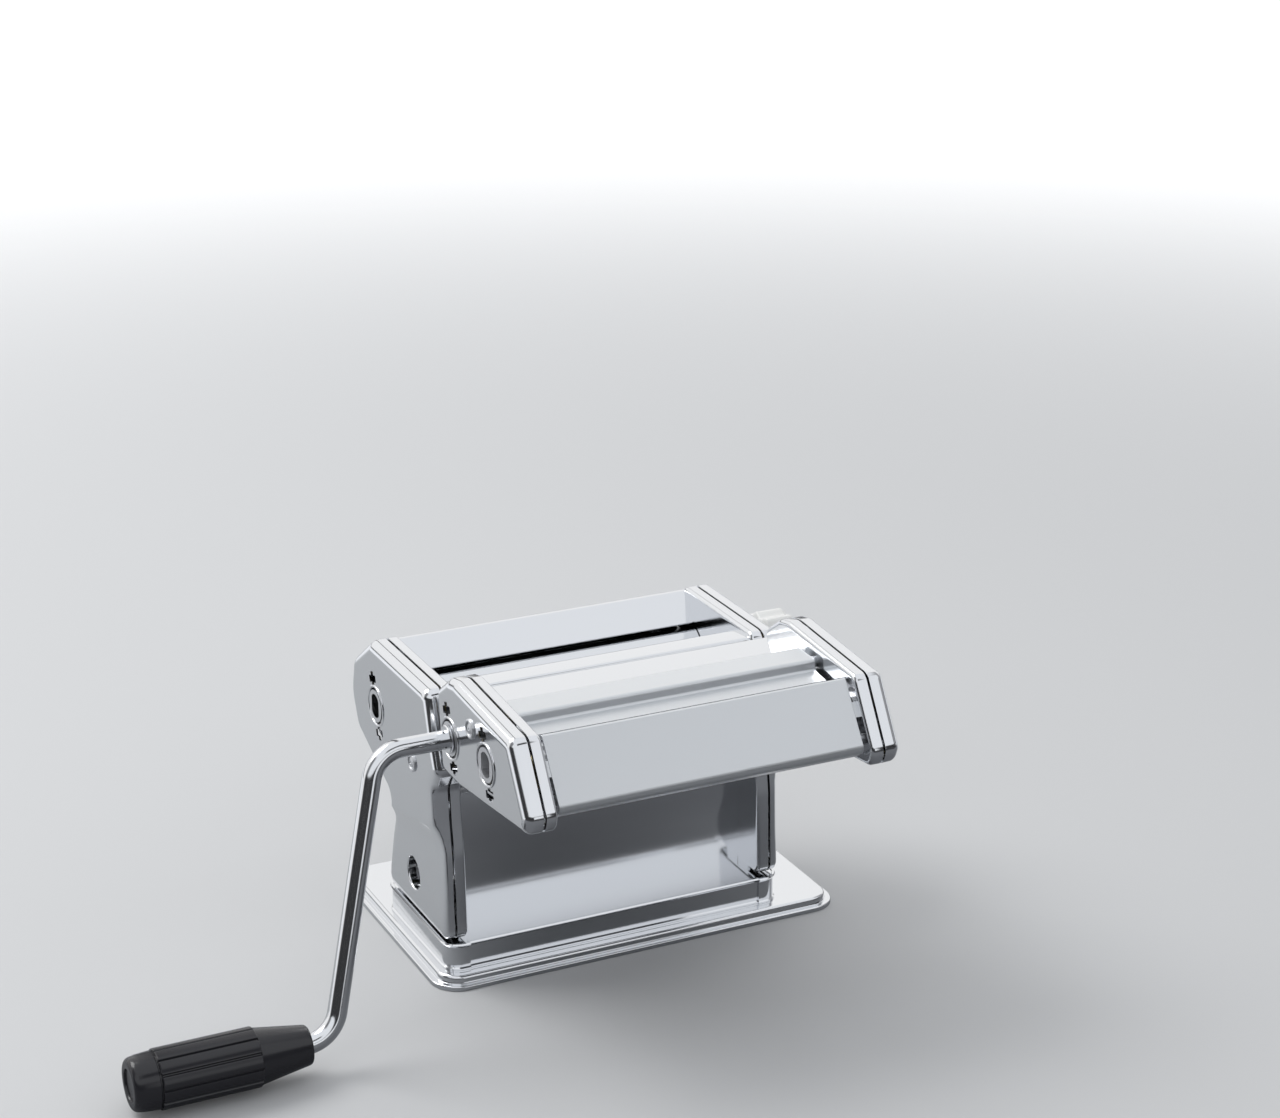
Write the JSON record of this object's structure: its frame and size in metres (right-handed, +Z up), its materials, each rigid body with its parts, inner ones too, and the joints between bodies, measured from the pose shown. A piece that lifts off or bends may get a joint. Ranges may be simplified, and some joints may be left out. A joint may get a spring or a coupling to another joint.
{
  "type": "hand-cranked pasta roller machine",
  "caption": "Hand-cranked kitchen machine: smooth sheet rollers with a gap knob between pressed steel sides, a lift-off cutter head in front and a removable crank with a ribbed grip.",
  "frame": {"origin": "middle of the base plate, in the plane of its feet", "axes": "+X along the rollers from the crank to the knob, +Y away from the cutter head, +Z up"},
  "size_m": [0.368, 0.232, 0.1608],
  "materials": {
    "mirror_steel": "mirror polished",
    "satin_steel": "satin",
    "satin_aluminium": "fine satin",
    "cutter_aluminium": "turned",
    "bearing_brass": "plain",
    "black_rubber": "matte",
    "black_plastic": "gloss",
    "pale_plastic": "satin gloss"
  },
  "bodies": {
    "machine": {"base_plate": "mirror_steel", "base_feet": "black_rubber", "pedestal": "mirror_steel", "left_cover": "mirror_steel", "right_cover": "mirror_steel", "left_frame": "mirror_steel", "right_frame": "mirror_steel", "front_panel": "mirror_steel", "exit_chute": "satin_steel", "front_guide": "mirror_steel", "rear_guide": "mirror_steel", "cutter_rails": "satin_steel", "body_tie_rods": "satin_steel", "body_nuts": "satin_steel", "body_rivets": "satin_steel", "body_bushings": "bearing_brass", "front_scraper": "satin_steel", "rear_scraper": "satin_steel", "knob_bearing": "satin_steel"},
    "fixed_roller_set": {"fixed_roller": "mirror_steel", "fixed_gear": "satin_steel"},
    "bearing_carriage": {"left_bearing_block": "bearing_brass", "right_bearing_block": "bearing_brass"},
    "adjustable_roller_set": {"adjustable_roller": "mirror_steel", "adjustable_gear": "satin_steel"},
    "adjuster": {"adjuster_shaft": "satin_steel", "knob_spring": "satin_steel"},
    "knob_set": {"knob": "pale_plastic", "knob_cap": "pale_plastic"},
    "cutter_head": {"cutter_left_cover": "mirror_steel", "cutter_right_cover": "mirror_steel", "cutter_left_frame": "mirror_steel", "cutter_right_frame": "mirror_steel", "cutter_front_plate": "satin_aluminium", "cutter_guide_bar": "satin_aluminium", "cutter_back_guide": "mirror_steel", "cutter_hooks": "satin_steel", "cutter_tie_rods": "satin_steel", "cutter_nuts": "satin_steel", "cutter_rivets": "satin_steel", "cutter_bushings": "bearing_brass", "wide_combs": "satin_steel", "narrow_combs": "satin_steel"},
    "wide_drive": {"wide_drive_roller": "cutter_aluminium", "wide_drive_gear": "satin_steel"},
    "wide_idle": {"wide_idle_roller": "cutter_aluminium", "wide_idle_gear": "satin_steel"},
    "narrow_drive": {"narrow_drive_roller": "cutter_aluminium", "narrow_drive_gear": "satin_steel"},
    "narrow_idle": {"narrow_idle_roller": "cutter_aluminium", "narrow_idle_gear": "satin_steel"},
    "crank": {"crank_rod": "mirror_steel", "grip_ring": "satin_steel"},
    "grip": {"crank_grip": "black_plastic", "grip_cap": "black_plastic"}
  },
  "joints": [
    {"name": "cutter_lift", "type": "slide", "parent": "machine", "child": "cutter_head", "axis": [0, 0, 1], "range_m": [0, 0.06]},
    {"name": "crank_turn", "type": "hinge", "parent": "cutter_head", "child": "wide_drive", "pos_m": [-0.011, -0.0793, 0.132], "axis": [1, 0, 0], "continuous": true},
    {"name": "wide_idle_turn", "type": "hinge", "parent": "cutter_head", "child": "wide_idle", "pos_m": [-0.011, -0.09763, 0.1336], "axis": [1, 0, 0], "continuous": true},
    {"name": "narrow_turn", "type": "hinge", "parent": "cutter_head", "child": "narrow_drive", "pos_m": [-0.011, -0.12034, 0.13559], "axis": [1, 0, 0], "continuous": true},
    {"name": "narrow_idle_turn", "type": "hinge", "parent": "cutter_head", "child": "narrow_idle", "pos_m": [-0.011, -0.13867, 0.13719], "axis": [1, 0, 0], "continuous": true},
    {"name": "crank_pull", "type": "slide", "parent": "wide_drive", "child": "crank", "axis": [-1, 0, 0], "range_m": [0, 0.03]},
    {"name": "grip_spin", "type": "hinge", "parent": "crank", "child": "grip", "pos_m": [-0.011, -0.1093, 0.015], "axis": [1, 0, 0], "continuous": true},
    {"name": "roller_turn", "type": "hinge", "parent": "machine", "child": "fixed_roller_set", "pos_m": [-0.011, 0.015, 0.1125], "axis": [1, 0, 0], "continuous": true},
    {"name": "gap_slide", "type": "slide", "parent": "machine", "child": "bearing_carriage", "axis": [0, 1, 0], "range_m": [0, 0.0025]},
    {"name": "adjustable_turn", "type": "hinge", "parent": "bearing_carriage", "child": "adjustable_roller_set", "pos_m": [-0.011, -0.0165, 0.1125], "axis": [1, 0, 0], "continuous": true},
    {"name": "knob_turn", "type": "hinge", "parent": "machine", "child": "adjuster", "pos_m": [-0.011, -0.01525, 0.1125], "axis": [1, 0, 0], "range_deg": [0, 180]},
    {"name": "knob_pull", "type": "slide", "parent": "adjuster", "child": "knob_set", "axis": [1, 0, 0], "range_m": [0, 0.0035], "stiffness_N_per_m": 400, "springref_m": -0.003, "deforming": ["knob_spring"]}
  ],
  "couplings": [
    {"joint": "wide_idle_turn", "follows": "crank_turn", "ratio": -1},
    {"joint": "narrow_idle_turn", "follows": "narrow_turn", "ratio": -1},
    {"joint": "adjustable_turn", "follows": "roller_turn", "ratio": -1},
    {"joint": "knob_turn", "follows": "gap_slide", "rad_per_m": 1256.6}
  ]
}
